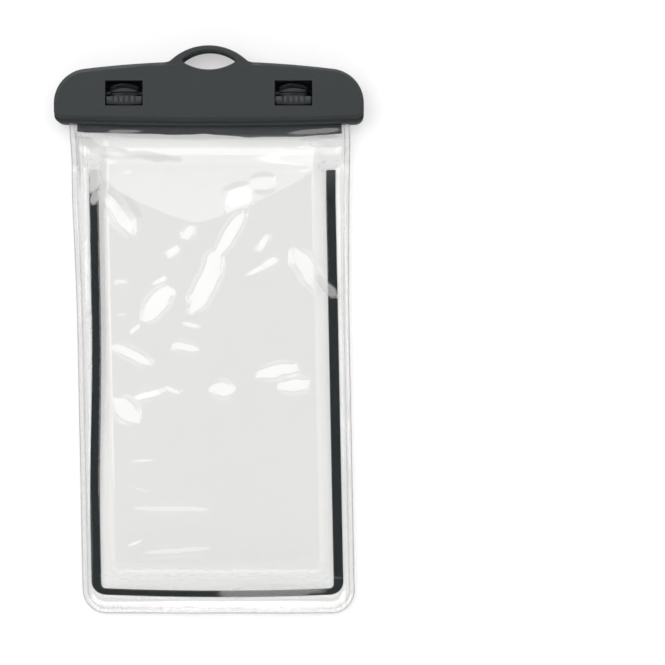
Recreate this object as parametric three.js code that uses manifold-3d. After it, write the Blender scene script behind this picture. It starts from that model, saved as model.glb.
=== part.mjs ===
// Waterproof phone pouch: a clear film bag held in a two-jaw closure, lying on its back.
// Millimetres. +X runs across the bag, +Y towards the closure, +Z up through the front.
// The pieces are laid out with y = 0 at the closure's lower edge and z = 0 under the rear jaw;
// the finished group is then centred on its box in X and Y.
import * as THREE from "three";
import { mergeGeometries, mergeVertices } from "three/addons/utils/BufferGeometryUtils.js";
import Module from "manifold-3d";

const wasm = await Module();
wasm.setup();

// Closure jaws
const closureWidth = 125.6;
const closureHeight = 24.9; // lower edge at its ends to the crown of the top edge
const rearJawThickness = 6.1;
const frontJawThickness = 6.1;
const jawGap = 0.3; // parting line
const topEdgeRadius = 416;
const shoulderRadius = 14;
const lowerCornerRadius = 3.4;
const lowerEdgeBow = 1; // dip of the lower edge at mid width
const edgeRounding = 1.4; // rear jaw
const capBevel = 1.5; // front jaw: bevel round the raised cap
const rimHeight = 3; // front jaw: parting line to the foot of the raised cap
const rimStep = 1.6; // front jaw: rim that shows below the cap
const skinThickness = 2; // face left over a cored pocket
const coreRibThickness = 1.6;
const coreRows = 3; // cored pockets between the two windows

// Carrying eye on the top edge
const eyeRise = 6.4; // top of the arch above the closure's crown
const eyeArchRadius = 22.7;
const eyeBarWidth = 2;
const eyeOpeningHeight = 7.8;
const eyeUpperRadius = 17.2;
const eyeLowerRadius = 20.2;
const eyeCornerRadius = 1;
const eyeBlendRadius = 3.75;
const eyeRounding = 0.6;

// Lock rollers and their windows
const windowWidth = 15.2;
const windowHeight = 10.2;
const windowSpacing = 68.6; // between the centres
const windowRise = 6.8; // closure's lower edge to the windows
const rollerClearance = 0.25;
const rollerRecess = 0.3; // barrel below the front face
const barrelWidth = 11.6;
const barrelBulge = 1.7; // how much less the barrel's radius is at its ends
const grooveDepth = 0.4; // smooth band to the floor of the grooves
const rimRise = 0.25; // barrel's rim over its smooth band
const rimTurn = [12, 34]; // degrees round the barrel, from its upper side to its front
const ribbedTurn = [34, 58];
const smoothTurn = [58.5, 85.5];
const ribPitch = 1.1;
const ribDepth = 0.3;
const lipStart = 1.3; // roller's axis down to the thumb lip
const lipGap = 0.7; // end of the lip's ribbed top to the window's lower edge
const lipThickness = 1.6;
const lipBulge = 0.35; // how much less the lip's radius is at its ends
const lipCornerRadius = 0.7;
const lipRecess = 0.2; // thumb lip below the front face
const trunnionRadius = 1.55;
const trunnionLength = 2;
const bearingClearance = 0.08;
const earWall = 1; // ear around the trunnion's hole
const earSide = 1; // ear past the hole, across the closure's height
const earClearance = 0.25;
const snapWidth = 2.5; // mouth of the ear, narrower than the trunnion

// Films and what the jaws hold them with
const filmThickness = 0.4;
const layGap = 0.05; // between layers that lie on each other
const foldDepth = 2.75; // parting plane to the bottom of each film channel
const barWidth = 1.4;
const channelWall = 1.1; // between the windows and the film channels
const tongueThickness = 0.4;
const tongueReach = 4.5; // dark tongue below the closure's lower edge
const tongueInset = 3; // bag's mouth to each end of the tongue
const gasketWidth = 1.4;
const gasketHeight = 1.6;
const grooveWall = 0.8; // between the gasket and the film channel
const slotMargin = 0.6; // jaw's film slot past each side of the film
const pressRibHeight = 0.25;

// Bag
const bagLength = 199.8; // below the closure's lower edge
const closureOverhang = 5.8; // closure past each side of the bag's mouth
const mouthFlare = 1.4; // bag's mouth past each side of the bag
const flareLength = 60; // over which the bag widens to its mouth
const bagCornerRadius = 9.5;
const rampLength = 13; // over which the films come down from the jaws
const panelSideSlope = 5.8; // strip to the flat of the raised front panel
const panelHeight = 8.9; // top of the panel above the table
const panelBottomSlope = 7.4; // the same at the bottom
const panelCornerRadius = 3;
const panelRounding = 1.1;
const crestMid = 42; // closure's lower edge to the panel's full height, at mid width
const crestSide = 22; // the same at the panel's sides
const crestPower = 1.2; // 1 for a pointed crest, 2 for a parabola

// Black edge strip between the films
const stripInset = 3.55; // bag's side edge to the strip
const stripWidth = 4;
const stripBottomWidth = 3.4;
const stripThickness = 0.8;
const stripTop = 18.4; // closure's lower edge down to the strip's ends
const stripLift = 7.6; // bag's bottom edge up to the strip
const stripCornerRadius = 5.6;

// Places that follow from the sizes
const partingZ = rearJawThickness + jawGap / 2;
const frontJawZ = rearJawThickness + jawGap;
const faceZ = frontJawZ + frontJawThickness;
const rimTopZ = frontJawZ + rimHeight;
const halfClosure = closureWidth / 2;
const bagMouthWidth = closureWidth - 2 * closureOverhang;
const bagWidth = bagMouthWidth - 2 * mouthFlare;
const tongueWidth = bagMouthWidth - 2 * tongueInset;
const stripSpan = bagWidth - 2 * stripInset;
const panelWidth = stripSpan - 2 * (stripWidth + panelSideSlope);
const eyeTopY = closureHeight + eyeRise;
const windowMidY = windowRise + windowHeight / 2;
const rimRadius = windowHeight / 2 - rollerClearance;
const barrelRadius = rimRadius - rimRise;
const grooveRadius = barrelRadius - grooveDepth;
const rollerAxisZ = faceZ - rollerRecess - barrelRadius;
const barrelHalf = barrelWidth / 2;
const lipHalf = windowWidth / 2 - rollerClearance;
const lipTop = faceZ - lipRecess - rollerAxisZ; // above the roller's axis
const lipRadius = Math.hypot(windowHeight / 2 - lipGap, lipTop);
const wellFloorZ = rollerAxisZ - barrelRadius - rollerClearance;
const earInnerX = windowWidth / 2;
const earOuterX = earInnerX + trunnionLength;
const earHoleRadius = trunnionRadius + bearingClearance;
const earTopZ = rollerAxisZ + earHoleRadius + earWall;
const channelHighY = windowRise - channelWall;
const channelWidth = 4 * layGap + 2 * filmThickness + barWidth;
const channelLowY = channelHighY - channelWidth;
const gasketHighY = channelLowY - grooveWall;
const gasketLowY = gasketHighY - gasketWidth;
const rearFilmZ = partingZ - tongueThickness / 2 - layGap - filmThickness; // underside, in the jaws
const frontFilmZ = partingZ + tongueThickness / 2 + layGap + filmThickness; // top side, in the jaws
const slotWidth = bagMouthWidth + 2 * slotMargin;
const weldTopZ = 2 * filmThickness + layGap;
const stripZ = filmThickness + layGap;
const beadTopZ = stripZ + stripThickness + layGap + filmThickness;
const stripLowY = stripLift - bagLength;

// Facets
const curveSteps = 10;
const roundSteps = 3;
const turnSteps = 32; // round the rollers
const boreSteps = 24;
const barrelSteps = 12; // along the barrel
const lipSteps = 6;
const lipCornerSteps = 3;
const rampSteps = 6;
const cornerSteps = 6;
const acrossSteps = 8; // across the raised panel
const mergeReach = 1e-4;

const lengthBeyond = 30; // how far cutting tools run past what they cut

function solidOf(geometry) {
  const bare = new THREE.BufferGeometry().setAttribute("position", geometry.getAttribute("position"));
  if (geometry.getIndex()) bare.setIndex(geometry.getIndex());
  const merged = mergeVertices(bare, mergeReach);
  return new wasm.Manifold(
    new wasm.Mesh({
      numProp: 3,
      vertProperties: new Float32Array(merged.getAttribute("position").array),
      triVerts: new Uint32Array(merged.getIndex().array),
    }),
  );
}

function geometryOf(solid) {
  const mesh = solid.getMesh();
  const geometry = new THREE.BufferGeometry();
  geometry.setAttribute("position", new THREE.BufferAttribute(mesh.vertProperties, 3));
  geometry.setIndex(new THREE.BufferAttribute(mesh.triVerts, 1));
  geometry.computeVertexNormals();
  return geometry;
}

const join = (...solids) => solids.reduce((whole, next) => whole.add(next));
const cut = (solid, ...tools) => tools.reduce((left, tool) => left.subtract(tool), solid);

// A box given by its ranges in X, Y and Z
function block([x0, x1], [y0, y1], [z0, z1]) {
  const geometry = new THREE.BoxGeometry(x1 - x0, y1 - y0, z1 - z0);
  geometry.translate((x0 + x1) / 2, (y0 + y1) / 2, (z0 + z1) / 2);
  return solidOf(geometry);
}

// An outline raised from z0 to z1, with its edges rounded inwards by rounding, or bevelled in one step
function plate(outline, z0, z1, rounding = 0, steps = roundSteps) {
  const geometry = new THREE.ExtrudeGeometry(outline, {
    depth: z1 - z0 - 2 * rounding,
    curveSegments: curveSteps,
    bevelEnabled: rounding > 0,
    bevelThickness: rounding,
    bevelSize: rounding,
    bevelOffset: -rounding,
    bevelSegments: steps,
  });
  geometry.translate(0, 0, z0 + rounding);
  return solidOf(geometry);
}

// Where two circles cross, on the side of larger x
function circlesMeet([x0, y0], r0, [x1, y1], r1) {
  const gap = Math.hypot(x1 - x0, y1 - y0);
  const along = (r0 * r0 - r1 * r1 + gap * gap) / (2 * gap);
  const off = Math.sqrt(Math.max(r0 * r0 - along * along, 0));
  const [ux, uy] = [(x1 - x0) / gap, (y1 - y0) / gap];
  const left = [x0 + ux * along - uy * off, y0 + uy * along + ux * off];
  const right = [x0 + ux * along + uy * off, y0 + uy * along - ux * off];
  return left[0] > right[0] ? left : right;
}

const angleTo = ([x0, y0], [x1, y1]) => Math.atan2(y1 - y0, x1 - x0);

// Closure outline: bowed lower edge, upright ends, round shoulders and a shallow arc on top.
// lowerY is the height of the lower edge at its ends.
function closureOutline(lowerY) {
  const arcCentre = [0, closureHeight - topEdgeRadius];
  const shoulderX = halfClosure - shoulderRadius;
  const shoulderY = arcCentre[1] + Math.sqrt((topEdgeRadius - shoulderRadius) ** 2 - shoulderX ** 2);
  const shoulder = angleTo(arcCentre, [shoulderX, shoulderY]);
  const cornerX = halfClosure - lowerCornerRadius;
  const outline = new THREE.Shape();
  outline.moveTo(-cornerX, lowerY);
  outline.quadraticCurveTo(0, lowerY - 2 * lowerEdgeBow, cornerX, lowerY);
  outline.absarc(cornerX, lowerY + lowerCornerRadius, lowerCornerRadius, -Math.PI / 2, 0);
  outline.absarc(shoulderX, shoulderY, shoulderRadius, 0, shoulder);
  outline.absarc(...arcCentre, topEdgeRadius, shoulder, Math.PI - shoulder);
  outline.absarc(-shoulderX, shoulderY, shoulderRadius, Math.PI - shoulder, Math.PI);
  outline.absarc(-cornerX, lowerY + lowerCornerRadius, lowerCornerRadius, Math.PI, 1.5 * Math.PI);
  return outline;
}

// Arch over the carrying eye, with its feet blended into the top edge and sunk into the jaw
function archOutline() {
  const edgeCentre = [0, closureHeight - topEdgeRadius];
  const archCentre = [0, eyeTopY - eyeArchRadius];
  const blend = circlesMeet(
    edgeCentre, topEdgeRadius + eyeBlendRadius,
    archCentre, eyeArchRadius + eyeBlendRadius,
  );
  const footAngle = angleTo(blend, edgeCentre);
  const archAngle = angleTo(archCentre, blend);
  const footX = blend[0] + eyeBlendRadius * Math.cos(footAngle);
  const sunkY = closureHeight - eyeOpeningHeight;
  const outline = new THREE.Shape();
  outline.moveTo(-footX, sunkY);
  outline.lineTo(footX, sunkY);
  outline.absarc(...blend, eyeBlendRadius, footAngle, archAngle - Math.PI, true);
  outline.absarc(...archCentre, eyeArchRadius, archAngle, Math.PI - archAngle);
  outline.absarc(-blend[0], blend[1], eyeBlendRadius, -archAngle, -Math.PI - footAngle, true);
  return outline;
}

// The eye's opening: two arcs that meet in small round corners
function eyeOutline() {
  const upper = [0, eyeTopY - eyeBarWidth - eyeUpperRadius];
  const lower = [0, eyeTopY - eyeBarWidth - eyeOpeningHeight + eyeLowerRadius];
  const corner = circlesMeet(
    upper, eyeUpperRadius - eyeCornerRadius,
    lower, eyeLowerRadius - eyeCornerRadius,
  );
  const upperAngle = angleTo(upper, corner);
  const lowerAngle = angleTo(lower, corner);
  const outline = new THREE.Shape();
  outline.absarc(...corner, eyeCornerRadius, lowerAngle, upperAngle);
  outline.absarc(...upper, eyeUpperRadius, upperAngle, Math.PI - upperAngle);
  outline.absarc(-corner[0], corner[1], eyeCornerRadius, Math.PI - upperAngle, Math.PI - lowerAngle);
  outline.absarc(...lower, eyeLowerRadius, -Math.PI - lowerAngle, lowerAngle);
  return outline;
}

// The eye cut right through, widened at one face so that its edge is rounded off
function eyeCutter(faceAt, outwards) {
  const flare = new THREE.ExtrudeGeometry(eyeOutline(), {
    depth: eyeRounding,
    curveSegments: curveSteps,
    bevelThickness: eyeRounding,
    bevelSize: eyeRounding,
    bevelSegments: roundSteps,
  });
  flare.translate(0, 0, outwards > 0 ? faceAt : faceAt - eyeRounding);
  return join(plate(eyeOutline(), -lengthBeyond, lengthBeyond), solidOf(flare));
}

const overWindows = (make) => [-1, 1].map((side) => make((side * windowSpacing) / 2));

// Cored pockets behind each face, beside and between the windows
function cores(z0, z1) {
  const innerX = windowSpacing / 2 - earOuterX - earClearance - coreRibThickness;
  const outerX = windowSpacing / 2 + earOuterX + earClearance + coreRibThickness;
  const endX = halfClosure - shoulderRadius / 2;
  const topY = eyeTopY - eyeBarWidth - eyeOpeningHeight - coreRibThickness;
  const shoulderY = closureHeight - shoulderRadius + coreRibThickness;
  const step = (2 * innerX + coreRibThickness) / coreRows;
  const pockets = Array.from({ length: coreRows }, (_, i) => [
    -innerX + i * step,
    -innerX + (i + 1) * step - coreRibThickness,
    topY,
  ]);
  pockets.push([outerX, endX, shoulderY], [-endX, -outerX, shoulderY]);
  return pockets.map(([x0, x1, y1]) => block([x0, x1], [windowRise, y1], [z0, z1]));
}

// A box centred across the closure, for the bars and for the slots and channels cut for them
const alongX = (width, y, z) => block([-width / 2, width / 2], y, z);

// A solid of revolution about the roller's axis, from its radius along x
function turned(radiusAt, stations, ends = []) {
  const profile = stations.map((x) => new THREE.Vector2(radiusAt(x), x));
  const [first, last] = [stations[0], stations[stations.length - 1]];
  const points = [
    ...ends.map(([radius, length]) => new THREE.Vector2(radius, first - length)),
    ...profile,
    ...ends.map(([radius, length]) => new THREE.Vector2(radius, last + length)).reverse(),
  ];
  points.unshift(new THREE.Vector2(0, points[0].y));
  points.push(new THREE.Vector2(0, points[points.length - 1].y));
  return solidOf(new THREE.LatheGeometry(points, turnSteps).rotateZ(-Math.PI / 2));
}

const spread = (from, to, steps) =>
  Array.from({ length: steps + 1 }, (_, i) => from + ((to - from) * i) / steps);
const barrelDrop = (x) => barrelBulge * (x / barrelHalf) ** 2;

// The lip's radius falls off slightly towards its ends and then round its corners
function lipDrop(x) {
  const pastCorner = Math.max(Math.abs(x) - lipHalf + lipCornerRadius, 0);
  const round = Math.sqrt(Math.max(lipCornerRadius ** 2 - pastCorner ** 2, 0));
  return lipBulge * (x / lipHalf) ** 2 + lipCornerRadius - round;
}

// A wedge about the roller's axis between two angles, measured from +Y towards +Z
function wedge(angles) {
  const reach = 2 * rimRadius;
  const [from, to] = angles.map(THREE.MathUtils.degToRad);
  const outline = new THREE.Shape();
  outline.moveTo(0, 0);
  outline.lineTo(reach * Math.cos(from), reach * Math.sin(from));
  outline.lineTo(reach * Math.cos(to), reach * Math.sin(to));
  const geometry = new THREE.ExtrudeGeometry(outline, { depth: 2 * windowWidth, bevelEnabled: false });
  geometry.translate(0, 0, -windowWidth);
  geometry.applyMatrix4(
    new THREE.Matrix4().makeBasis(
      new THREE.Vector3(0, 1, 0), new THREE.Vector3(0, 0, 1), new THREE.Vector3(1, 0, 0),
    ),
  );
  return solidOf(geometry);
}

// Thumb lip about the roller's axis: a slab with ribs along Y on its flat top and a round outer wall
function thumbLip() {
  const cornerX = lipHalf - lipCornerRadius;
  const stations = [
    ...spread(-lipHalf, -cornerX, lipCornerSteps),
    ...spread(-cornerX, cornerX, lipSteps).slice(1, -1),
    ...spread(cornerX, lipHalf, lipCornerSteps),
  ];
  const ribCount = Math.floor((2 * lipHalf) / ribPitch);
  const ribFrom = (-(ribCount - 0.5) * ribPitch) / 2;
  const ribs = Array.from({ length: ribCount }, (_, i) => ribFrom + i * ribPitch);
  const slab = (x, z) => block(x, [-2 * rimRadius, -lipStart], z);
  return turned((x) => lipRadius - lipDrop(x), stations).intersect(
    join(
      slab([-windowWidth, windowWidth], [lipTop - lipThickness, lipTop - ribDepth]),
      ...ribs.map((x) => slab([x, x + ribPitch / 2], [lipTop - lipThickness, lipTop])),
    ),
  );
}

// Lock roller about its own axis: a barrel with a rim, a ribbed groove and a smooth band, and the lip
function lockRoller() {
  const smooth = spread(-barrelHalf, barrelHalf, barrelSteps);
  const ribs = Math.floor((2 * barrelHalf) / ribPitch);
  const ribbed = spread(-ribs, ribs, 2 * ribs).map((i) => (i * ribPitch) / 2);
  const ribAt = (x) => (Math.round((2 * x) / ribPitch) % 2 ? -ribDepth : ribDepth);
  const trunnionReach = lipHalf - barrelHalf + trunnionLength;
  return join(
    turned(
      (x) => grooveRadius - barrelDrop(x),
      smooth,
      [[trunnionRadius, trunnionReach], [trunnionRadius, 0]],
    ),
    turned((x) => rimRadius - barrelDrop(x), smooth).intersect(wedge(rimTurn)),
    turned((x) => grooveRadius + ribAt(x) - barrelDrop(x), ribbed).intersect(wedge(ribbedTurn)),
    turned((x) => barrelRadius - barrelDrop(x), smooth).intersect(wedge(smoothTurn)),
    thumbLip(),
  );
}

// Undercut that the lip's wall hooks into, in the front jaw below each window
function lipSeat(x) {
  const round = turned(() => lipRadius + rollerClearance, [-windowWidth / 2, windowWidth / 2]);
  return round
    .translate(x, windowMidY, rollerAxisZ)
    .intersect(
      block(
        [x - windowWidth, x + windowWidth],
        [-lengthBeyond, windowMidY],
        [rollerAxisZ + lipTop - lipThickness - layGap, faceZ + lengthBeyond],
      ),
    );
}

// Two ears beside each window of the rear jaw
function ears(x) {
  const halfEar = earHoleRadius + earSide;
  return join(
    ...[-1, 1].map((side) =>
      block(
        [earInnerX, earOuterX].map((at) => x + side * at).sort((a, b) => a - b),
        [windowMidY - halfEar, windowMidY + halfEar],
        [wellFloorZ, earTopZ],
      ),
    ),
  );
}

// Snap bearing through both ears: a hole for the trunnions and a narrower mouth above it
function bearing(x) {
  const reach = earOuterX + bearingClearance;
  const hole = new THREE.CylinderGeometry(earHoleRadius, earHoleRadius, 2 * reach, boreSteps);
  hole.rotateZ(Math.PI / 2).translate(x, windowMidY, rollerAxisZ);
  const mouth = block(
    [x - reach, x + reach],
    [windowMidY - snapWidth / 2, windowMidY + snapWidth / 2],
    [rollerAxisZ, earTopZ + lengthBeyond],
  );
  return join(solidOf(hole), mouth);
}

function windowBlock(x, z0, z1) {
  const [halfX, halfY] = [windowWidth / 2, windowHeight / 2];
  return block([x - halfX, x + halfX], [windowMidY - halfY, windowMidY + halfY], [z0, z1]);
}

function rearJaw() {
  const outline = closureOutline(0);
  const body = join(
    plate(outline, 0, rearJawThickness, edgeRounding),
    plate(outline, rearJawThickness / 2, rearJawThickness),
    plate(archOutline(), 0, rearJawThickness, eyeRounding),
    plate(archOutline(), rearJawThickness / 2, rearJawThickness),
  );
  const above = rearJawThickness + lengthBeyond;
  const hollowed = cut(
    body,
    eyeCutter(0, -1),
    alongX(slotWidth, [-lengthBeyond, channelHighY], [rearFilmZ - layGap, above]),
    alongX(slotWidth, [channelLowY, channelHighY], [partingZ - foldDepth, above]),
    alongX(slotWidth, [gasketLowY, gasketHighY], [rearFilmZ - layGap - gasketHeight, above]),
    ...overWindows((x) => windowBlock(x, wellFloorZ, above)),
    ...cores(skinThickness, above),
  );
  return cut(join(hollowed, ...overWindows(ears)), ...overWindows(bearing));
}

function frontJaw() {
  const rim = closureOutline(0);
  const cap = closureOutline(rimStep);
  const arch = archOutline();
  const body = join(
    plate(rim, frontJawZ, rimTopZ),
    plate(cap, rimTopZ - capBevel, faceZ, capBevel, 1),
    plate(arch, frontJawZ, rimTopZ),
    plate(arch, rimTopZ - eyeRounding, faceZ - eyeRounding / 2, eyeRounding),
  );
  const below = frontJawZ - lengthBeyond;
  const ribLowZ = frontFilmZ + layGap;
  const earPocketY = earHoleRadius + earSide + earClearance;
  return cut(
    body,
    eyeCutter(faceZ, 1),
    alongX(slotWidth, [-lengthBeyond, gasketLowY], [below, ribLowZ + pressRibHeight]),
    alongX(slotWidth, [gasketLowY, gasketHighY], [below, ribLowZ]),
    alongX(slotWidth, [gasketHighY, channelHighY], [below, ribLowZ + pressRibHeight]),
    alongX(slotWidth, [channelLowY, channelHighY], [below, partingZ + foldDepth]),
    ...overWindows((x) => windowBlock(x, below, faceZ + lengthBeyond)),
    ...overWindows((x) =>
      block(
        [x - earOuterX - earClearance, x + earOuterX + earClearance],
        [windowMidY - earPocketY, windowMidY + earPocketY],
        [below, earTopZ + earClearance],
      ),
    ),
    ...overWindows(lipSeat),
    ...cores(below, faceZ - skinThickness),
  );
}

// Bar that wedges a film's edge into its channel; the rear one carries the tongue that shows below
function filmBar(side) {
  const lowY = channelLowY + 2 * layGap + filmThickness;
  const rootZ = partingZ + (side * tongueThickness) / 2;
  const tipZ = partingZ + side * (foldDepth - 2 * layGap - filmThickness);
  return block(
    [-bagMouthWidth / 2, bagMouthWidth / 2],
    [lowY, lowY + barWidth],
    [rootZ, tipZ].sort((a, b) => a - b),
  );
}

function rearFilmBar() {
  const highY = channelLowY + 2 * layGap + filmThickness + barWidth;
  const thick = [partingZ - tongueThickness / 2, partingZ + tongueThickness / 2];
  return join(filmBar(-1), alongX(tongueWidth, [-tongueReach, highY], thick));
}

function gasket() {
  const gripped = [gasketLowY + layGap, gasketHighY - layGap];
  return alongX(bagMouthWidth, gripped, [rearFilmZ - gasketHeight, rearFilmZ - layGap]);
}

// A grid of points, row by row, as a surface that faces up when rows run towards -Y and points towards +X
function grid(rows) {
  const wide = rows[0].length;
  const index = [];
  for (let j = 0; j + 1 < rows.length; j++) {
    for (let i = 0; i + 1 < wide; i++) {
      const [a, b] = [j * wide + i, (j + 1) * wide + i];
      index.push(a, b, b + 1, a, b + 1, a + 1);
    }
  }
  return new THREE.BufferGeometry().setFromPoints(rows.flat()).setIndex(index);
}

// The facet normals round each point, with one kept of those that are alike
function facetNormals(points, index) {
  const alike = 0.9999;
  const around = points.map(() => []);
  for (let f = 0; f < index.length; f += 3) {
    const corners = [index[f], index[f + 1], index[f + 2]];
    const normal = new THREE.Triangle(...corners.map((c) => points[c])).getNormal(new THREE.Vector3());
    for (const c of corners) {
      if (!around[c].some((known) => known.dot(normal) > alike)) around[c].push(normal);
    }
  }
  return around;
}

// A film of even thickness: the surface becomes its outer face, and the inner face lies depth behind it
function thicken(surface, depth) {
  const outer = mergeVertices(surface, mergeReach);
  const place = outer.getAttribute("position");
  const index = Array.from(outer.getIndex().array);
  const points = Array.from({ length: place.count }, (_, i) =>
    new THREE.Vector3().fromBufferAttribute(place, i),
  );
  const normals = facetNormals(points, index);
  const inner = points.map((point, i) => {
    const mean = normals[i].reduce((sum, n) => sum.add(n), new THREE.Vector3()).normalize();
    const share = normals[i].reduce((sum, n) => sum + n.dot(mean), 0) / normals[i].length;
    return point.clone().addScaledVector(mean, -depth / share);
  });
  const count = points.length;
  const edges = new Map();
  const faces = [...index];
  for (let f = 0; f < index.length; f += 3) {
    const [a, b, c] = index.slice(f, f + 3);
    faces.push(count + a, count + c, count + b);
    for (const [from, to] of [[a, b], [b, c], [c, a]]) {
      if (edges.has(to + "_" + from)) edges.delete(to + "_" + from);
      else edges.set(from + "_" + to, [from, to]);
    }
  }
  for (const [from, to] of edges.values()) {
    faces.push(from, count + from, to, to, count + from, count + to);
  }
  return new THREE.BufferGeometry().setFromPoints([...points, ...inner]).setIndex(faces);
}

// 1 in the closure, 0 where the films have come down to the bag
const rise = (y) => THREE.MathUtils.smoothstep(y, -tongueReach - rampLength, -tongueReach);
const flareAt = (y) => mouthFlare * THREE.MathUtils.smoothstep(y, -flareLength, 0);

// Height of the front panel: it climbs from the jaws to its full height at a crest bowed towards the bottom
function panelZ(x, y) {
  const across = Math.min((2 * x) / panelWidth, 1) ** crestPower;
  const crest = crestMid - (crestMid - crestSide) * across;
  const climb = THREE.MathUtils.clamp((-y - tongueReach) / (crest - tongueReach), 0, 1);
  return THREE.MathUtils.lerp(frontFilmZ, panelHeight, climb);
}

// The film inside the jaws as [y, z]: up the far wall of its channel, across, back out and through the slot
function grippedPath(side) {
  const slotZ = side < 0 ? rearFilmZ : frontFilmZ;
  const floorZ = partingZ + side * (foldDepth - layGap);
  return [
    [channelHighY - layGap, slotZ],
    [channelHighY - layGap, floorZ],
    [channelLowY + layGap, floorZ],
    [channelLowY + layGap, slotZ],
    [0, slotZ],
  ];
}

const rampYs = spread(-tongueReach, -tongueReach - rampLength, rampSteps);
const crestYs = [crestSide, (crestSide + crestMid) / 2, crestMid, flareLength].map((y) => -y);
const cornerAngles = spread(0, Math.PI / 2, cornerSteps);

// Left half of a U-shaped line round the bag: down its side, round the corner to its bottom edge
function sideLine({ half, low, radius, heightAt, flared = 0 }, gripped) {
  const cornerY = low + radius;
  const down = [...rampYs, ...crestYs, (cornerY - flareLength) / 2, cornerY];
  const line = gripped.map(([y, z]) => new THREE.Vector3(-half - flared * flareAt(y), y, z));
  for (const y of down) line.push(new THREE.Vector3(-half - flared * flareAt(y), y, heightAt(half, y)));
  for (const angle of cornerAngles.slice(1)) {
    const y = cornerY - radius * Math.sin(angle);
    line.push(new THREE.Vector3(-half + radius - radius * Math.cos(angle), y, heightAt(half, y)));
  }
  return line;
}

// A row of points straight across, from a left point to its mirror image
function across(left, steps, heightAt) {
  return spread(left.x, -left.x, steps).map(
    (x) => new THREE.Vector3(x, left.y, heightAt ? heightAt(Math.abs(x), left.y) : left.z),
  );
}

const mirrored = (line) => line.map((p) => new THREE.Vector3(-p.x, p.y, p.z));

// Rear sheet: flat on the table, rising into the rear jaw
function rearSheet() {
  const edge = sideLine(
    {
      half: bagWidth / 2,
      low: -bagLength,
      radius: bagCornerRadius,
      heightAt: (_, y) => rearFilmZ * rise(y),
      flared: 1,
    },
    grippedPath(-1),
  );
  const surface = grid(edge.map((left) => across(left, 2)).reverse());
  return thicken(surface, filmThickness);
}

// Front sheet: weld flange, bead over the strip, sloped walls and the raised panel
function frontSheet() {
  const ramped = (z) => (_, y) => THREE.MathUtils.lerp(z, frontFilmZ, rise(y));
  const stripHalf = stripSpan / 2;
  const footHalf = stripHalf - stripWidth;
  const footLow = stripLowY + stripBottomWidth;
  const footRadius = stripCornerRadius - stripWidth;
  const panelHalf = panelWidth / 2;
  const panelLow = footLow + panelBottomSlope;
  const beadSpread = filmThickness + layGap;
  const lowered = (x, y) => panelZ(x, y) - (panelRounding / 2) * (1 - rise(y));
  const lines = [
    { half: bagWidth / 2, low: -bagLength, radius: bagCornerRadius, heightAt: ramped(weldTopZ), flared: 1 },
    {
      half: stripHalf + 2 * beadSpread,
      low: stripLowY - 2 * beadSpread,
      radius: stripCornerRadius + 2 * beadSpread,
      heightAt: ramped(weldTopZ),
    },
    {
      half: stripHalf + beadSpread,
      low: stripLowY - beadSpread,
      radius: stripCornerRadius + beadSpread,
      heightAt: ramped(beadTopZ),
    },
    { half: footHalf, low: footLow, radius: footRadius, heightAt: ramped(beadTopZ) },
    {
      half: panelHalf + panelRounding,
      low: panelLow - panelRounding,
      radius: panelCornerRadius + panelRounding,
      heightAt: lowered,
    },
    { half: panelHalf, low: panelLow, radius: panelCornerRadius, heightAt: panelZ },
  ].map((line) => sideLine(line, grippedPath(1)));
  const rings = lines.map((line) => {
    const end = line[line.length - 1];
    const bottom = across(end, acrossSteps).slice(1, -1);
    return [...line, ...bottom, ...mirrored(line).reverse()];
  });
  const panel = lines[lines.length - 1].map((left, j) =>
    across(left, acrossSteps, j < grippedPath(1).length ? null : panelZ),
  );
  return thicken(mergeGeometries([grid(rings.reverse()), grid(panel)]), filmThickness);
}

// Black U-shaped strip that lies between the sheets, just inside the weld
function edgeStrip() {
  const half = stripSpan / 2;
  const inner = half - stripWidth;
  const innerRadius = stripCornerRadius - stripWidth;
  const innerLow = stripLowY + stripBottomWidth;
  const [cornerX, cornerY] = [half - stripCornerRadius, stripLowY + stripCornerRadius];
  const outline = new THREE.Shape();
  outline.moveTo(-inner, -stripTop);
  outline.lineTo(-half, -stripTop);
  outline.absarc(-cornerX, cornerY, stripCornerRadius, Math.PI, 1.5 * Math.PI);
  outline.absarc(cornerX, cornerY, stripCornerRadius, 1.5 * Math.PI, 2 * Math.PI);
  outline.lineTo(half, -stripTop);
  outline.lineTo(inner, -stripTop);
  outline.absarc(inner - innerRadius, innerLow + innerRadius, innerRadius, 0, -Math.PI / 2, true);
  outline.absarc(-inner + innerRadius, innerLow + innerRadius, innerRadius, -Math.PI / 2, -Math.PI, true);
  return plate(outline, stripZ, stripZ + stripThickness);
}

const jawPlastic = new THREE.MeshStandardMaterial({ color: 0x44484a, roughness: 0.55, metalness: 0 });
const rollerPlastic = new THREE.MeshStandardMaterial({ color: 0x222627, roughness: 0.3, metalness: 0 });
const barPlastic = new THREE.MeshStandardMaterial({ color: 0x3a3e40, roughness: 0.5, metalness: 0 });
const stripRubber = new THREE.MeshStandardMaterial({ color: 0x282c2e, roughness: 0.8, metalness: 0 });
const gasketRubber = new THREE.MeshStandardMaterial({ color: 0x8c8f90, roughness: 0.7, metalness: 0 });
const clearFilm = new THREE.MeshStandardMaterial({
  color: 0xf4f6f6,
  roughness: 0.05,
  metalness: 0,
  transparent: true,
  opacity: 0.3,
});

const pouch = new THREE.Group();

function place(name, geometry, material, position = [0, 0, 0]) {
  const mesh = new THREE.Mesh(geometry, material);
  mesh.name = name;
  mesh.position.set(...position);
  pouch.add(mesh);
}

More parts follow.
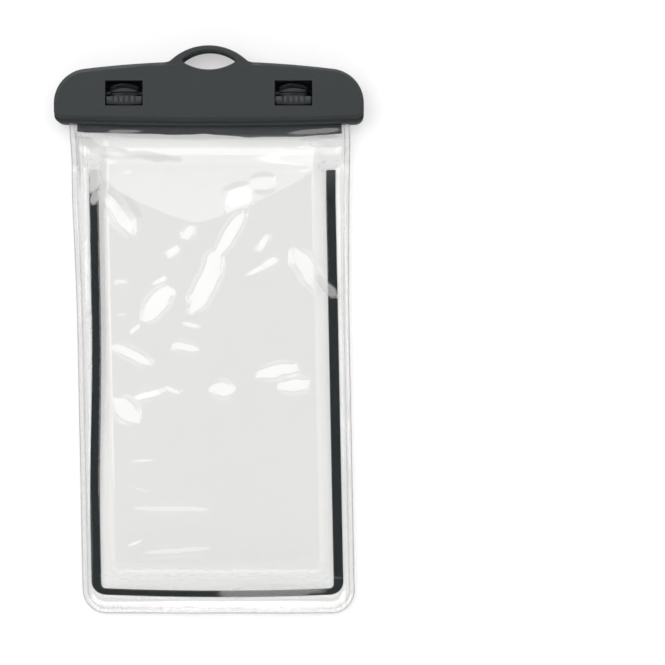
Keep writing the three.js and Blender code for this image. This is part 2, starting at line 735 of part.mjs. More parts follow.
place("rear_jaw", geometryOf(rearJaw()), jawPlastic);
place("front_jaw", geometryOf(frontJaw()), jawPlastic);
place("rear_film_bar", geometryOf(rearFilmBar()), barPlastic);
place("front_film_bar", geometryOf(filmBar(1)), barPlastic);
place("seal_gasket", geometryOf(gasket()), gasketRubber);
place("rear_sheet", rearSheet(), clearFilm);
place("front_sheet", frontSheet(), clearFilm);
place("edge_strip", geometryOf(edgeStrip()), stripRubber);
overWindows((x) =>
  place(
    x < 0 ? "lock_roller_left" : "lock_roller_right",
    geometryOf(lockRoller()),
    rollerPlastic,
    [x, windowMidY, rollerAxisZ],
  ),
);

pouch.position.y = (bagLength - eyeTopY) / 2;

export default pouch;
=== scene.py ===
import math

import bmesh
import bpy
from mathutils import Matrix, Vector, noise


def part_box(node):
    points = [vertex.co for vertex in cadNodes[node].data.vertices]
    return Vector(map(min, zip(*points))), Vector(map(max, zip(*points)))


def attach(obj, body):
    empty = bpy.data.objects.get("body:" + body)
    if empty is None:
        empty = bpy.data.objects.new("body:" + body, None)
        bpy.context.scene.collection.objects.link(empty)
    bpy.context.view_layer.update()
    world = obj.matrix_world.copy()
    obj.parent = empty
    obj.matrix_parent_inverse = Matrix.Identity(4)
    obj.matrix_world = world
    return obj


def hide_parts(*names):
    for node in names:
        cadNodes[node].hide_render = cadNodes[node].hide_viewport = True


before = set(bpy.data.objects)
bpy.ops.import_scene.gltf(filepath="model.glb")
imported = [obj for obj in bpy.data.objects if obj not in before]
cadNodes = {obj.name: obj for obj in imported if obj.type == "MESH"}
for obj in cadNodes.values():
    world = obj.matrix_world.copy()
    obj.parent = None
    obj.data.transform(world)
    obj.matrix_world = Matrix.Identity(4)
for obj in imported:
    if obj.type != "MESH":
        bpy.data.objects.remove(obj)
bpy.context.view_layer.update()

mm = 0.001
collection = bpy.context.scene.collection


# Small helpers for heights and blends

def mix(a, b, share):
    return a + (b - a) * share


def smooth(value, start, end):
    share = min(max((value - start) / (end - start), 0), 1)
    return share * share * (3 - 2 * share)


def softLow(a, b, soft):  # the lower of two heights, rounded where they meet
    near = max(soft - abs(a - b), 0) / soft
    return min(a, b) - near * near * soft / 4


def softHigh(a, b, soft):
    return -softLow(-a, -b, soft)


# How far a point lies inside a U outline with round lower corners
def inside(x, y, half, low, radius):
    sideways, upwards = half - abs(x), y - low
    if sideways < radius and upwards < radius:
        return radius - math.hypot(radius - sideways, radius - upwards)
    return min(sideways, upwards)


# Materials: a wrapped socket lets shader maths be written as plain expressions

class Wire:
    def __init__(self, finish, socket):
        self.finish = finish
        self.socket = socket

    def calc(self, operation, other, turned=False):
        values = {0: other, 1: self} if turned else {0: self, 1: other}
        return self.finish.add("ShaderNodeMath", {"operation": operation}, values)

    def __add__(self, other):
        return self.calc("ADD", other)

    def __rsub__(self, other):
        return self.calc("SUBTRACT", other, turned=True)

    def __mul__(self, other):
        return self.calc("MULTIPLY", other)

    def __pow__(self, other):
        return self.calc("POWER", other)

    __radd__ = __add__
    __rmul__ = __mul__


class Finish:
    def __init__(self, owner):  # a material or the world
        self.owner = owner
        owner.use_nodes = True
        self.nodes = owner.node_tree.nodes
        self.links = owner.node_tree.links
        self.nodes.clear()

    def add(self, kind, settings=None, values=None, output=0):
        node = self.nodes.new(kind)
        for name, value in (settings or {}).items():
            if name == "stops":
                setStops(node.color_ramp, value)
            else:
                setattr(node, name, value)
        for name, value in (values or {}).items():
            if isinstance(value, Wire):
                self.links.new(value.socket, node.inputs[name])
            else:
                node.inputs[name].default_value = value
        return Wire(self, node.outputs[output])

    def place(self, scale=(1, 1, 1)):
        spot = self.add("ShaderNodeTexCoord", output="Object")
        return self.add("ShaderNodeMapping", {}, {"Vector": spot, "Scale": scale})

    def noise(self, where, scale, detail=2.0, roughness=0.5):
        values = {"Vector": where, "Scale": scale, "Detail": detail, "Roughness": roughness}
        return self.add("ShaderNodeTexNoise", {}, values, "Fac")

    def blend(self, share, first, second):
        values = {0: share, 6: first, 7: second}
        return self.add("ShaderNodeMix", {"data_type": "RGBA"}, values, 2)

    def steps(self, source, stops):
        return self.add("ShaderNodeValToRGB", {"stops": stops}, {0: source})

    def bump(self, height, distance, strength=1.0):
        values = {"Height": height, "Distance": distance, "Strength": strength}
        return self.add("ShaderNodeBump", {}, values)

    def attribute(self, name):
        return self.add("ShaderNodeAttribute", {"attribute_name": name}, output="Fac")

    def surface(self, values):
        return self.add("ShaderNodeBsdfPrincipled", {}, values)

    def done(self, shader, output="ShaderNodeOutputMaterial"):
        self.links.new(shader.socket, self.nodes.new(output).inputs["Surface"])
        return self.owner


def newFinish(name):
    return Finish(bpy.data.materials.new(name))


def setStops(ramp, stops):
    while len(ramp.elements) < len(stops):
        ramp.elements.new(0.5)
    for element, (position, value) in zip(ramp.elements, stops):
        element.position = position
        element.color = (value, value, value, 1)


def grey(value, tint=(1, 1, 1)):
    return (value * tint[0], value * tint[1], value * tint[2], 1)


# Meshes

def makePiece(name, bm, materials, body, replaced=(), closed=False):
    if closed:
        bmesh.ops.recalc_face_normals(bm, faces=bm.faces)
    mesh = bpy.data.meshes.new(name)
    bm.to_mesh(mesh)
    bm.free()
    piece = bpy.data.objects.new(name, mesh)
    collection.objects.link(piece)
    for material in materials:
        mesh.materials.append(material)
    mesh.polygons.foreach_set("use_smooth", [True] * len(mesh.polygons))
    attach(piece, body)
    if replaced:
        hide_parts(*replaced)
    return piece


def addModifier(piece, kind, **settings):
    modifier = piece.modifiers.new(kind.title(), kind)
    for name, value in settings.items():
        setattr(modifier, name, value)


# Moulded plastic of the jaws: fine leather grain, satin

jawLook = {
    "dark": 0.0195,
    "light": 0.0275,
    "tint": (0.8, 0.98, 1.0),
    "roughness": 0.48,
    "shine": 0.3,
    "grain": 0.42 * mm,      # size of a grain cell
    "grainDepth": 0.035 * mm,
    "clouding": 9 * mm,
}


def jawFinish():
    finish = newFinish("jawPlastic")
    where = finish.place()
    cells = finish.add(
        "ShaderNodeTexVoronoi",
        {"feature": "DISTANCE_TO_EDGE"},
        {"Vector": where, "Scale": 1 / jawLook["grain"]},
    )
    pores = finish.steps(cells, [(0.0, 0.0), (0.12, 0.75), (0.5, 1.0)])
    fine = finish.noise(where, 1 / (0.3 * jawLook["grain"]), 3)
    cloud = finish.noise(where, 1 / jawLook["clouding"], 3)
    height = pores + fine * 0.5
    tint = jawLook["tint"]
    shader = finish.surface({
        "Base Color": finish.blend(cloud, grey(jawLook["dark"], tint), grey(jawLook["light"], tint)),
        "Specular IOR Level": jawLook["shine"],
        "Roughness": jawLook["roughness"] + cloud * 0.12,
        "Normal": finish.bump(height, jawLook["grainDepth"]),
    })
    return finish.done(shader)


rollerLook = {"dark": 0.011, "light": 0.017, "tint": (0.85, 1.0, 1.15), "roughness": 0.26, "shine": 0.2}
barLook = {"dark": 0.028, "light": 0.038, "tint": (0.8, 0.95, 1.05), "roughness": 0.42, "shine": 0.3}
stripLook = {"dark": 0.0065, "light": 0.0105, "tint": (0.5, 0.95, 1.08), "roughness": 0.62, "shine": 0.25}
gasketLook = {"dark": 0.22, "light": 0.3, "tint": (1, 1, 1), "roughness": 0.7, "shine": 0.5}


# A plain dark plastic or rubber: faint clouds in its tone and sheen, and a fine uneven skin
def plainFinish(name, look, cloudSize, spread, skinSize, skinDepth, stretch=(1, 1, 1)):
    finish = newFinish(name)
    where = finish.place()
    cloud = finish.noise(finish.place(stretch), 1 / cloudSize, 4)
    dark, light = grey(look["dark"], look["tint"]), grey(look["light"], look["tint"])
    shader = finish.surface({
        "Base Color": finish.blend(cloud, dark, light),
        "Roughness": look["roughness"] + cloud * spread,
        "Specular IOR Level": look["shine"],
        "Normal": finish.bump(finish.noise(where, 1 / skinSize, 3), skinDepth),
    })
    return finish.done(shader)


# Clear film: see-through, with a mirror that grows towards grazing angles, and milky where it is
# welded, with milky patches of painted light and shade elsewhere. The border's lists give a share or tone
# at places across the border.

filmLook = {
    "pass": (0.998, 0.998, 0.9955, 1),  # what each face lets through
    "faceOn": 0.033,         # what each face mirrors head on
    "roughness": 0.03,
    "haze": 0.006,
    "milkTone": 0.92,
    "milkGlow": 0.28,         # share of the milk that passes light on from behind
    "borderWidth": 8 * mm,
    "borderMilk": [
        (0.0, 0.36), (0.03, 0.36), (0.05, 0.26), (0.24, 0.22), (0.26, 0.24), (0.28, 0.24),
        (0.3, 0.16), (0.41, 0.12), (0.46, 0.0),
    ],
    "borderTone": [
        (0.0, 0.25), (0.03, 0.3), (0.05, 0.96), (0.24, 0.96), (0.26, 0.35), (0.28, 0.35), (0.3, 0.96),
    ],
    "streakSize": 0.9 * mm,
    "rippleSize": 14 * mm,
    "hazeSize": 6 * mm,
}


def filmFinish(name):
    finish = newFinish(name)
    where = finish.place()
    ripple = finish.noise(where, 1 / filmLook["rippleSize"], 3)
    mirror = finish.surface({
        "Base Color": (1, 1, 1, 1),
        "Metallic": 1.0,
        "Roughness": filmLook["roughness"] + ripple * 0.02,
    })
    clear = finish.add("ShaderNodeBsdfTransparent", {}, {"Color": filmLook["pass"]})
    facing = finish.add("ShaderNodeLayerWeight", {}, {"Blend": 0.5}, "Facing")
    share = filmLook["faceOn"] + (1 - filmLook["faceOn"]) * facing ** 5
    film = finish.add("ShaderNodeMixShader", {}, {0: share, 1: clear, 2: mirror})
    border = finish.attribute("border")
    streaks = finish.noise(finish.place((1, 0.06, 1)), 1 / filmLook["streakSize"], 3)
    milk = finish.steps(border, filmLook["borderMilk"]) * (0.6 + streaks * 0.8)
    haze = filmLook["haze"] * finish.noise(where, 1 / filmLook["hazeSize"], 4)
    # The points' tone is the painted patches' tone: light for painted glints and glare, dark for painted
    # shade
    tone = finish.steps(border, filmLook["borderTone"]) * finish.attribute("tone")
    milky = finish.surface({
        "Base Color": tone * filmLook["milkTone"],
        "Roughness": 0.5,
        "Specular IOR Level": 0.2,
    })
    lit = finish.add("ShaderNodeBsdfTranslucent", {}, {"Color": grey(filmLook["milkTone"])})
    milky = finish.add("ShaderNodeMixShader", {}, {0: filmLook["milkGlow"], 1: milky, 2: lit})
    # The painted light and shade share from the points adds to the film's haze and weld milk
    milkShare = haze + milk + finish.attribute("veil")
    shader = finish.add("ShaderNodeMixShader", {}, {0: milkShare, 1: film, 2: milky})
    return finish.done(shader)


finishes = {
    "jaw": jawFinish(),
    "roller": plainFinish("rollerPlastic", rollerLook, 1.6 * mm, 0.12, 0.25 * mm, 0.006 * mm),
    "bar": plainFinish("barPlastic", barLook, 9 * mm, 0.1, 0.4 * mm, 0.01 * mm, (1, 14, 14)),
    "strip": plainFinish("stripRubber", stripLook, 3 * mm, 0.2, 0.35 * mm, 0.03 * mm),
    "gasket": plainFinish("gasketRubber", gasketLook, 2 * mm, 0.15, 0.3 * mm, 0.02 * mm),
    "film": filmFinish("clearFilm"),
}
print("materials made")


# The bag's sizes, from the frame where the frame has them

bagLow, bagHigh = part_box("rear_sheet")
stripLow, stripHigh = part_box("edge_strip")
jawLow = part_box("rear_jaw")[0]
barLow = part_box("rear_film_bar")[0]
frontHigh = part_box("front_sheet")[1]

bag = {
    "closureBow": 1 * mm,        # dip of the closure's lower edge at mid width
    "tongueReach": 4.5 * mm,
    "rampLength": 13 * mm,       # over which the films come down from the jaws
    "flareLength": 90 * mm,
    "mouthFlare": 1.4 * mm,
    "cornerRadius": 9.5 * mm,
    "filmThickness": 0.34 * mm,
    "weldTop": 0.85 * mm,
    "jawFilmZ": 6.9 * mm,        # front film's top side in the jaws
    "rearFilmZ": 5.6 * mm,       # rear film's underside in the jaws
    "leanFrom": 30 * mm,         # the loose bag drifts sideways below here
    "lean": 0.02,
    "offset": 0.35 * mm,         # it also lies a little to one side of the closure
    "leftSlack": 2.05 * mm,      # how far the strip's left run lies inside its place
    "rightSlack": 1.0 * mm,
    "slackFade": (78 * mm, 166 * mm),  # the left run comes back to its place between these
    "slackAside": (30 * mm, 46 * mm),  # from mid width, where the slack begins and is full
    "stripSag": 1.2 * mm,        # bow of its bottom run
    "sagFade": (2 * mm, 16 * mm),  # above the bottom run, where the sag ends
    "edgeLift": 2.6 * mm,        # the welded edge curls up from the table
    "liftBand": 5 * mm,
    "liftPatch": 26 * mm,        # size of the places where it curls more or less
    "gripped": 3.4 * mm,         # how far the films reach up into the jaws
    "straightAt": 150 * mm,      # a place below the flare and above the round corners
}
mouthY = jawLow.y + bag["closureBow"]
bagHalf = (bagHigh.x - bagLow.x) / 2 - bag["mouthFlare"]
strip = {
    "half": stripHigh.x,
    "low": stripLow.y,
    "width": 4 * mm,
    "bottomWidth": 2.75 * mm,
    "radius": 5.6 * mm,
    "beadTop": 1.7 * mm,
    "beadSpread": 1.0 * mm,
    "thickness": 0.72 * mm,
    "crown": 0.12 * mm,          # how much fuller it is along its middle
    "sunk": 0.1 * mm,            # its edges below the top of its solid
    "wave": 0.036 * mm,
    "waveSize": 9 * mm,
    "bevel": 0.15 * mm,
    "bevelAbove": math.radians(50),
}
bottomSlope = 7.4 * mm           # length of the panel's bottom wall, seen from above
panel = {
    "half": 42.25 * mm,
    "low": strip["low"] + strip["bottomWidth"] + bottomSlope,
    "radius": 3 * mm,
    "height": frontHigh.z,
    "rounding": 1.3 * mm,
    "crestMid": 42 * mm,
    "crestSide": 22 * mm,
    "crestShift": -5 * mm,
}


# Sideways drift of the bag below the closure
def swayAt(down):
    return bag["offset"] * smooth(down, 0, 8 * mm) + bag["lean"] * max(down - bag["leanFrom"], 0)


# Bow of the strip and of the bead over it
def stripBow(x, y):
    down = mouthY - y
    left = bag["leftSlack"] * (1 - smooth(down, *bag["slackFade"]))
    slack = left if x < 0 else -bag["rightSlack"]
    bottom = 1 - smooth(y - strip["low"], *bag["sagFade"])
    reach = max(1 - (x / strip["half"]) ** 2, 0)
    return slack * smooth(abs(x), *bag["slackAside"]), -bag["stripSag"] * bottom * reach


def crestAt(x):
    across = min(abs(x - panel["crestShift"]) / panel["half"], 1.1) ** 1.2
    return mix(panel["crestMid"], panel["crestSide"], across)


def panelHeight(x, down):
    climb = (down - bag["tongueReach"]) / (crestAt(x) - bag["tongueReach"])
    return softLow(mix(bag["jawFilmZ"], panel["height"], climb), panel["height"], 0.12 * mm)


# Dents in the front film: x, distance below the closure, length, width, turn in degrees, slope
dents = [
    (-33.2, 19.8, 4.2, 1.8, 20, 0.14), (-37.2, 36.5, 20.3, 5.6, -58, 0.34),
    (-9.1, 44.6, 5.3, 4.5, 60, 0.3), (-15.4, 52.1, 5.7, 4.1, 35, 0.27),
    (11.6, 30.8, 13.5, 9.6, 22, 0.1), (21.6, 24.4, 11.0, 5.6, 2, 0.1), (7.7, 45.0, 21.5, 5.3, 58, 0.31),
    (21.1, 48.6, 7.3, 3.7, 60, 0.27), (0.6, 56.0, 8.9, 6.0, 62, 0.31),
    (-2.4, 65.7, 25.2, 7.6, 62, 0.31), (-36.8, 64.2, 4.9, 2.2, -10, 0.27),
    (-21.1, 64.2, 6.2, 2.8, 25, 0.27), (-22.5, 73.4, 17.1, 7.4, 53, 0.3),
    (-36.8, 77.6, 4.2, 1.8, -5, 0.27), (-31.6, 83.7, 5.0, 2.4, 32, 0.27),
    (-32.7, 93.9, 17.9, 4.6, -28, 0.27), (-8.7, 82.0, 8.2, 3.0, -15, 0.27),
    (-11.2, 90.9, 11.5, 4.1, -10, 0.27), (-27.3, 110.4, 12.6, 3.7, 12, 0.27),
    (-16.8, 108.4, 8.5, 3.0, -25, 0.27), (-35.8, 116.5, 12, 8.0, -60, 0.34),
    (20.8, 58.4, 13.8, 3.0, 27, 0.27), (23.8, 56.4, 6.1, 3.7, 25, 0.27),
    (39.4, 60.0, 22.0, 7.4, -58, 0.28), (26.0, 100.6, 17.5, 6.0, 10, 0.27),
    (32.3, 106.2, 14.0, 5.6, 0, 0.27), (3.4, 108.0, 8.6, 6.4, -25, 0.27),
    (-29.0, 137.0, 10.5, 2.4, 1, 0.27), (-18.4, 156.5, 37.0, 3.4, -1, 0.2),
    (-15.0, 166.4, 8.5, 2.0, -15, 0.21), (-33.6, 170.7, 10.2, 2.4, 20, 0.22),
    (-16.8, 173.6, 34.0, 3.6, 4, 0.2), (27.6, 159.3, 7.3, 1.8, 3, 0.21),
    (-30.5, 148.8, 12.5, 2.4, -18, 0.22), (40.5, 8.4, 13.0, 3.2, 4, 0.12),
    (38.4, 19.4, 3.2, 1.8, 0, 0.14),
]
dentLook = {"edge": 0.4 * mm, "fuller": 1.22, "ragged": 0.16, "raggedSize": 4 * mm}


# How far a place lies from a patch's middle, as a share of the patch's half size, and how far aside
def patchReach(x, down, middleX, middleDown, length, width, turn):
    dx, dy = x - middleX * mm, middleDown * mm - down
    if max(abs(dx), abs(dy)) > length * mm:
        return 9, 0
    angle = math.radians(turn)
    along = (dx * math.cos(angle) + dy * math.sin(angle)) / (length * mm / 2)
    aside = (dy * math.cos(angle) - dx * math.sin(angle)) / (width * mm / 2)
    return (abs(along) ** 2.4 + abs(aside) ** 2.4) ** (1 / 2.4), aside


def raggedAt(x, down, size):
    return noise.noise(Vector((x, down, 0)) / size)


# Each dent is a small facet that tips the film across its length, towards the back
def dentHeight(x, down):
    height, total = 0, 0
    ragged = raggedAt(x, down, dentLook["raggedSize"]) * dentLook["ragged"]
    for middleX, middleDown, length, full, turn, slope in dents:
        full *= dentLook["fuller"]
        reach, aside = patchReach(x, down, middleX, middleDown, length, full, turn)
        if reach > 2:
            continue
        width = full * mm / 2
        soft = dentLook["edge"] / width
        weight = 1 - smooth(reach + ragged, 1 - soft, 1 + soft)
        height -= weight * slope * aside * width
        total += weight
    return height / max(total, 1)


# Painted light and shade on the front film, made as milky patches. The light ones (tone 0.6 to 1) are
# painted glints and glare of the lamps, over the strip and the tongue too. The dark ones (tone 0.1 to
# 0.5) are painted shade where the film mirrors no light.
# x, distance below the closure, length, width, turn in degrees, share of milk, tone
glareAndShadePatches = [
    (-51.4, 46.0, 3.0, 1.3, 80, 0.35, 1.0), (-51.2, 62.0, 2.4, 1.2, 80, 0.3, 1.0),
    (-51.1, 77.0, 3.2, 1.5, 85, 0.4, 1.0), (-50.9, 84.5, 2.4, 1.3, 80, 0.35, 1.0),
    (-50.8, 99.0, 3.0, 1.3, 85, 0.4, 1.0), (51.6, 70.0, 2.6, 1.3, 20, 0.35, 1.0),
    (-48.7, 8.7, 14.7, 4.5, -35, 0.1, 0.1), (-38.1, 12.3, 14.0, 5.4, -8, 0.12, 0.1),
    (-23.2, 13.4, 20.5, 3.5, -6, 0.12, 0.1), (-36.2, 31.0, 19.0, 6.5, -38, 0.06, 0.15),
    (-45.0, 5.2, 19.0, 1.6, -5, 0.3, 1.0), (-48.8, 16.4, 8.0, 3.8, -25, 0.4, 1.0),
    (-48.2, 22.3, 12.0, 5.6, 90, 0.6, 1.0), (-47.4, 29.4, 7.0, 3.4, 70, 0.4, 0.95),
    (-50.8, 34, 40, 2.4, 90, 0.14, 0.95), (-53.9, 14, 22, 1.0, 92, 0.16, 0.5),
    (-52.4, 12, 16, 0.9, 90, 0.12, 0.5), (48.0, 7.9, 17.0, 3.2, 2, 0.35, 1.0),
    (44.0, 4.9, 17.0, 1.6, -3, 0.12, 0.4), (48.2, 16.6, 8.5, 3.6, 8, 0.4, 1.0),
    (46.8, 66.4, 10.5, 3.6, -50, 0.32, 0.9), (-34.8, 3.1, 13.5, 1.3, 0, 0.3, 0.62),
    (42.0, 3.2, 21.0, 1.7, 4, 0.28, 0.62), (21.0, 191.3, 43.0, 4.0, 2, 0.17, 0.9),
    (-21.7, 182.4, 42.5, 2.4, 0, 0.4, 1.0), (20.5, 182.0, 36.7, 2.2, 0, 0.35, 1.0),
    (0, 184.9, 90, 1.6, -0.5, 0.35, 1.0),
]
# Softness and raggedness of the painted patches, and the painted light on the ramp and the bottom wall
paintedLightLook = {"soft": 0.16, "ragged": 0.3, "raggedSize": 5 * mm, "rampPaintedLift": 0.05, "wallPaintedSheen": 0.12}


# Share and tone of the milk that paints light and shade at a place of the front film
def paintedLightAt(x, y, down):
    ragged = raggedAt(x, down, paintedLightLook["raggedSize"]) * paintedLightLook["ragged"]
    # Painted light: milk on the ramp below the tongue lifts the soft shadow there
    milk = paintedLightLook["rampPaintedLift"] * smooth(down, 4.2 * mm, 5.2 * mm) * (1 - smooth(down, 9 * mm, 30 * mm))
    # Painted sheen: milk on the panel's bottom wall lightens it where it faces away from the lamps
    foot = strip["low"] + strip["bottomWidth"] + mm
    wall = smooth(y, foot, foot + mm) * (1 - smooth(y, panel["low"], foot + 12 * mm))
    wall *= 1 - smooth(abs(x), panel["half"] + mm, panel["half"] + 3 * mm)
    milk += paintedLightLook["wallPaintedSheen"] * wall
    tone = 1
    for *patch, share, paintedTone in glareAndShadePatches:
        reach = patchReach(x, down, *patch)[0]
        weight = 1 - smooth(reach + ragged, 1 - paintedLightLook["soft"], 1 + paintedLightLook["soft"])
        milk = mix(milk, share, weight)
        tone = mix(tone, paintedTone, weight)
    return milk, tone


waveLook = {"height": 0.1 * mm, "size": 22 * mm, "layer": 3 * mm}


# Slow waves that keep the film from being dead flat
def waveHeight(x, down):
    return waveLook["height"] * noise.noise(Vector((x, down, waveLook["layer"])) / waveLook["size"])


# The welded edge curls up a little, except beside the closure
def liftAt(x, y, down):
    edge = inside(x, y, bagHalf, bagLow.y, bag["cornerRadius"])
    uneven = 0.8 + 0.35 * raggedAt(x, down, bag["liftPatch"])
    curl = (1 - smooth(edge, 0, bag["liftBand"])) * smooth(down, 8 * mm, 22 * mm)
    return bag["edgeLift"] * curl * uneven


# Height of the front film's top side over the table
def frontHeight(x, y):
    down = mouthY - y
    rise = smooth(down, bag["tongueReach"] + bag["rampLength"], bag["tongueReach"])
    bowX, bowY = stripBow(x, y)
    bead = inside(x - bowX, y - bowY, strip["half"], strip["low"], strip["radius"])
    footHalf = strip["half"] - strip["width"]
    footLow = strip["low"] + strip["bottomWidth"]
    foot = inside(x - bowX, y - bowY, footHalf, footLow, strip["radius"] - strip["width"])
    top = inside(x, y, panel["half"], panel["low"], panel["radius"])
    crown = panelHeight(x, down)
    wall = mix(strip["beadTop"], crown, foot / max(foot - top, mm))
    low = mix(bag["weldTop"], strip["beadTop"], smooth(bead, -strip["beadSpread"], 0))
    height = softHigh(low, softLow(wall, crown, panel["rounding"]), 0.6 * mm)
    dented = height + (dentHeight(x, down) + waveHeight(x, down)) * smooth(foot, 0, 2 * mm)
    return mix(softHigh(dented, low, 0.3 * mm), bag["jawFilmZ"], rise) + liftAt(x, y, down)


def rearHeight(x, y):
    down = mouthY - y
    rise = smooth(down, bag["tongueReach"] + bag["rampLength"], bag["tongueReach"])
    return mix(0.01 * mm, bag["rearFilmZ"], rise) + liftAt(x, y, down)


# Half width of the bag at a distance below the closure
def bagHalfAt(down):
    flare = bag["mouthFlare"] * (1 - smooth(down, 0, bag["flareLength"]))
    up = mouthY - down - bagLow.y
    radius = bag["cornerRadius"]
    trim = radius - math.sqrt(max(radius ** 2 - (radius - up) ** 2, 0)) if up < radius else 0
    return bagHalf + flare - trim


# Even steps from one value to another, without the last
def stepsTo(start, end, count):
    return [mix(start, end, i / count) for i in range(count)]


# Distances below the closure at which the films have a row of points, closer together at both ends
def rowPlaces(fine):
    length = mouthY - bagLow.y
    radius = bag["cornerRadius"]
    bottom = length - 22 * mm
    rows = stepsTo(-bag["gripped"], 0, 4)
    rows += stepsTo(0, 12 * mm, round(30 * fine))
    rows += stepsTo(12 * mm, bottom, round(204 * fine))
    rows += stepsTo(bottom, length - radius, round(26 * fine))
    turn = max(round(24 * fine), 8)
    rows += [length - radius + radius * math.sin(math.pi / 2 * i / turn) for i in range(turn + 1)]
    return rows


# A share from -1 to 1 across the bag, as a place that is closer packed near the edges
def columnPlace(share, half):
    edgeBand, edgeShare = 15 * mm, 0.42
    reach = abs(share)
    if reach < 1 - edgeShare:
        place = reach / (1 - edgeShare) * (half - edgeBand)
    else:
        place = half - edgeBand * (1 - reach) / edgeShare
    return math.copysign(place, share)


# The film's points carry their place in the border, and the share and tone of their milk, which paints
# light and shade on the front film
def makeFilm(name, columns, fine, heightAt, lightPainted, node, offset):
    rows = rowPlaces(fine)
    bm = bmesh.new()
    bmesh.ops.create_grid(bm, x_segments=columns, y_segments=len(rows) - 1, size=1)
    layers = [bm.verts.layers.float.new(layer) for layer in ("border", "veil", "tone")]
    for vert in bm.verts:
        down = rows[round((1 - vert.co.y) / 2 * (len(rows) - 1))]
        x = columnPlace(vert.co.x, bagHalfAt(down))
        y = mouthY - down
        outer = inside(x, y, bagHalfAt(min(down, bag["straightAt"])), bagLow.y, bag["cornerRadius"])
        milk, tone = paintedLightAt(x, y, down) if lightPainted else (0, 1)
        for layer, value in zip(layers, (outer / filmLook["borderWidth"], milk, tone)):
            vert[layer] = value
        vert.co = Vector((x + swayAt(down), y, heightAt(x, y)))
    film = makePiece(name, bm, [finishes["film"]], "pouch", [node])
    addModifier(film, "SOLIDIFY", thickness=bag["filmThickness"], offset=offset, use_even_offset=True)


makeFilm("frontFilm", 162, 1.0, frontHeight, True, "front_sheet", -1)
makeFilm("rearFilm", 60, 0.4, rearHeight, False, "rear_sheet", 1)
print("films made")


# The black strip: a flat ribbon along a U path between the films
def stripPoint(along, aside):
    lane = strip["width"] / 2
    half, low = strip["half"] - lane, strip["low"] + strip["bottomWidth"] / 2
    radius = strip["radius"] - lane
    run = stripHigh.y - low - radius
    arc = radius * math.pi / 2
    level = half - radius
    total = run + arc + level
    travel = min(along, 2 - along) * total
    if travel < run:
        x, y, outX, outY = -half, stripHigh.y - travel, -1, 0
    elif travel < run + arc:
        angle = (travel - run) / radius
        outX, outY = -math.cos(angle), -math.sin(angle)
        x, y = -half + radius + radius * outX, low + radius + radius * outY
    else:
        x, y, outX, outY = -half + radius + travel - run - arc, low, 0, -1
    lane = mix(strip["width"], strip["bottomWidth"], smooth(travel, run, run + arc)) / 2
    x, y = x + outX * lane * aside, y + outY * lane * aside
    return (x, y) if along <= 1 else (-x, y)


def makeStrip():
    bm = bmesh.new()
    lengthwise, widthwise = 420, 8
    bmesh.ops.create_grid(bm, x_segments=lengthwise, y_segments=widthwise, size=1)
    for vert in bm.verts:
        x, y = stripPoint(vert.co.x + 1, vert.co.y)
        bowX, bowY = stripBow(x, y)
        down = mouthY - y
        wave = strip["wave"] * noise.noise(Vector((x, y, 0)) / strip["waveSize"])
        crown = strip["crown"] * (1 - vert.co.y ** 2)
        top = stripHigh.z - strip["sunk"] + crown + wave
        vert.co = Vector((x + bowX + swayAt(down), y + bowY, top))
    bmesh.ops.reverse_faces(bm, faces=bm.faces)
    piece = makePiece("edgeStrip", bm, [finishes["strip"]], "pouch", ["edge_strip"])
    addModifier(piece, "SOLIDIFY", thickness=strip["thickness"], offset=-1)
    bevel = {"width": strip["bevel"], "segments": 2, "angle_limit": strip["bevelAbove"]}
    addModifier(piece, "BEVEL", limit_method="ANGLE", **bevel)


makeStrip()
print("strip made")


# Moulded pieces: a merged copy of the frame's solid, shaded smooth between its sharp edges

mergeReach = 0.004 * mm
sharpAbove = math.radians(42)
moulded = {
    "front_jaw": ("frontJaw", "jaw", "jaw_plastic", "pouch"),
    "rear_jaw": ("rearJaw", "jaw", "jaw_plastic", "pouch"),
    "lock_roller_left": ("lockRollerLeft", "roller", "roller_plastic", "lock_roller_left"),
    "lock_roller_right": ("lockRollerRight", "roller", "roller_plastic", "lock_roller_right"),
}


def mouldedCopy(node, name, finish, slotName, body):
    bm = bmesh.new()
    bm.from_mesh(cadNodes[node].data)
    bmesh.ops.remove_doubles(bm, verts=bm.verts, dist=mergeReach)
    bmesh.ops.dissolve_limit(bm, angle_limit=math.radians(0.5), verts=bm.verts, edges=bm.edges)
    piece = makePiece(name, bm, [finishes[finish]], body, [node], closed=True)
    piece.data.set_sharp_from_angle(angle=sharpAbove)
    addModifier(piece, "WEIGHTED_NORMAL", keep_sharp=True)


# The rear film's bar and tongue, whose free edge waves below the closure: x and reach of the edge
tongueWave = [
    (-54, 3.2), (-50, 3.6), (-42, 3.7), (-34, 4.0), (-24, 4.1), (-15, 4.5), (-8, 4.4), (-2, 4.1),
    (4, 4.6), (10, 5.0), (16, 5.6), (22, 5.3), (36, 5.3), (46, 4.6), (54, 4.0),
]


def tongueReachAt(x):
    for (startX, start), (endX, end) in zip(tongueWave, tongueWave[1:]):
        if x <= endX * mm:
            return mix(start, end, smooth(x, startX * mm, endX * mm)) * mm
    return tongueWave[-1][1] * mm


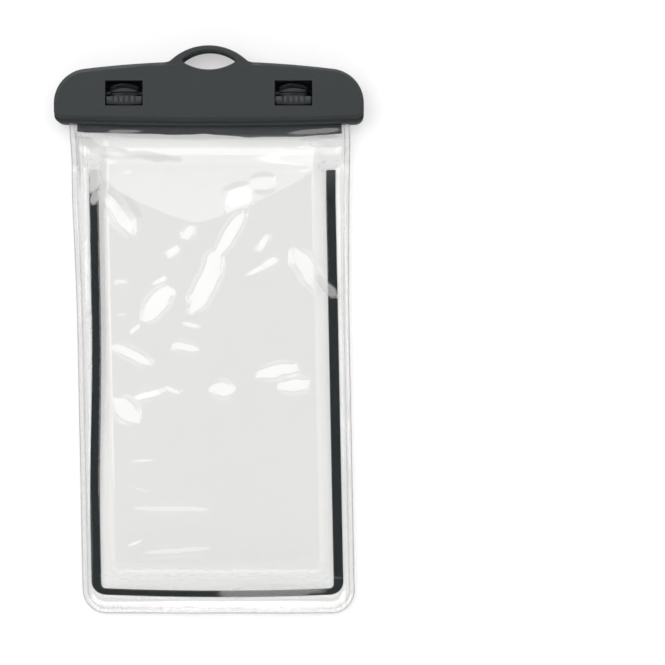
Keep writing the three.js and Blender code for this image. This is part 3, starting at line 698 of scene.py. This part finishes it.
def makeTongue():
    bm = bmesh.new()
    bm.from_mesh(cadNodes["rear_film_bar"].data)
    bmesh.ops.remove_doubles(bm, verts=bm.verts, dist=mergeReach)
    for x in range(-52, 54, 2):
        everything = bm.verts[:] + bm.edges[:] + bm.faces[:]
        bmesh.ops.bisect_plane(bm, geom=everything, plane_co=(x * mm, 0, 0), plane_no=(1, 0, 0))
    for vert in bm.verts:
        if vert.co.y < barLow.y + mm:
            vert.co.y = mouthY - tongueReachAt(vert.co.x)
    finish, replaced = [finishes["bar"]], ["rear_film_bar"]
    piece = makePiece("rearFilmBar", bm, finish, "pouch", replaced, closed=True)
    piece.data.set_sharp_from_angle(angle=sharpAbove)


for node, settings in moulded.items():
    mouldedCopy(node, *settings)
makeTongue()
for node, finish in [("front_film_bar", "bar"), ("seal_gasket", "gasket")]:
    cadNodes[node].data.materials.clear()
    cadNodes[node].data.materials.append(finishes[finish])
print("closure made")


# Camera, floor and light

view = {
    "camera": (0.0501, -0.00075, 0.917),
    "frameWidth": 0.27265,       # what the picture's width shows at the table
    "sensor": 36.0,
}
studio = {
    "floorAlbedo": 0.88,
    "floorGlow": 0.36,           # share of the floor's look that is plain white
    "floorWhite": 1.2,
    "worldLight": 0.55,           # what lights the matt surfaces
    "zenith": 0.07,              # what shiny surfaces mirror straight above
    "horizon": 1.0,
    "backGlow": 9.0,             # low light behind the pouch, for the closure's top edge
}
lamps = {  # place, size and radiance
    "key": ((-1.05, 0.55, 1.6), (1.4, 1.5), 2.25),
    "back": ((0.2, 0.98, 1.7), (1.2, 0.65), 2.2),
    "right": ((0.88, 0.55, 1.6), (0.8, 0.95), 1.9),
    "card": ((-0.08, 0.45, 1.5), (0.85, 0.42), 1.45),
    "front": ((0.0, -1.5, 0.8), (1.8, 0.7), 2.6),
}


def makeCamera():
    data = bpy.data.cameras.new("camera")
    data.sensor_width = view["sensor"]
    data.lens = view["sensor"] * view["camera"][2] / view["frameWidth"]
    camera = bpy.data.objects.new("camera", data)
    camera.location = view["camera"]
    collection.objects.link(camera)
    bpy.context.scene.camera = camera


def makeFloor():
    bm = bmesh.new()
    bmesh.ops.create_grid(bm, x_segments=1, y_segments=1, size=4)
    bmesh.ops.translate(bm, verts=bm.verts, vec=(0, 0, -0.05 * mm))
    mesh = bpy.data.meshes.new("floor")
    bm.to_mesh(mesh)
    bm.free()
    floor = bpy.data.objects.new("floor", mesh)
    collection.objects.link(floor)
    finish = newFinish("floorPaper")
    paper = finish.surface({
        "Base Color": grey(studio["floorAlbedo"]),
        "Roughness": 0.9,
        "Specular IOR Level": 0.0,
    })
    seen = finish.add("ShaderNodeLightPath", output="Is Camera Ray")
    glow = finish.add("ShaderNodeEmission", {}, {"Strength": studio["floorWhite"]})
    shares = {0: seen * studio["floorGlow"], 1: paper, 2: glow}
    mesh.materials.append(finish.done(finish.add("ShaderNodeMixShader", {}, shares)))


def makeLamp(name, place, size, radiance):
    data = bpy.data.lights.new(name, "AREA")
    data.shape = "RECTANGLE"
    data.size, data.size_y = size
    data.energy = radiance * math.pi * size[0] * size[1]
    lamp = bpy.data.objects.new(name, data)
    lamp.location = place
    collection.objects.link(lamp)


def makeWorld():
    world = bpy.data.worlds.new("studio")
    bpy.context.scene.world = world
    finish = Finish(world)
    direction = finish.add("ShaderNodeTexCoord", output="Generated")
    height = finish.add("ShaderNodeSeparateXYZ", {}, {0: direction}, "Z")
    back = finish.add("ShaderNodeSeparateXYZ", {}, {0: direction}, "Y").calc("MAXIMUM", 0.0)
    mirrored = finish.steps(height, [(0.84, studio["horizon"]), (0.96, studio["zenith"])])
    mirrored = mirrored + back ** 6 * studio["backGlow"]
    seen = finish.add("ShaderNodeLightPath", output="Is Camera Ray")
    for kind in ("Is Glossy Ray", "Is Transmission Ray"):
        seen = seen.calc("MAXIMUM", finish.add("ShaderNodeLightPath", output=kind))
    strength = seen * mirrored + (1 - seen) * studio["worldLight"]
    background = finish.add("ShaderNodeBackground", {}, {"Color": grey(1), "Strength": strength})
    finish.done(background, "ShaderNodeOutputWorld")


makeCamera()
makeFloor()
makeWorld()
for lampName, settings in lamps.items():
    makeLamp(lampName, *settings)
bpy.context.scene.view_settings.view_transform = "Standard"
print("studio made")
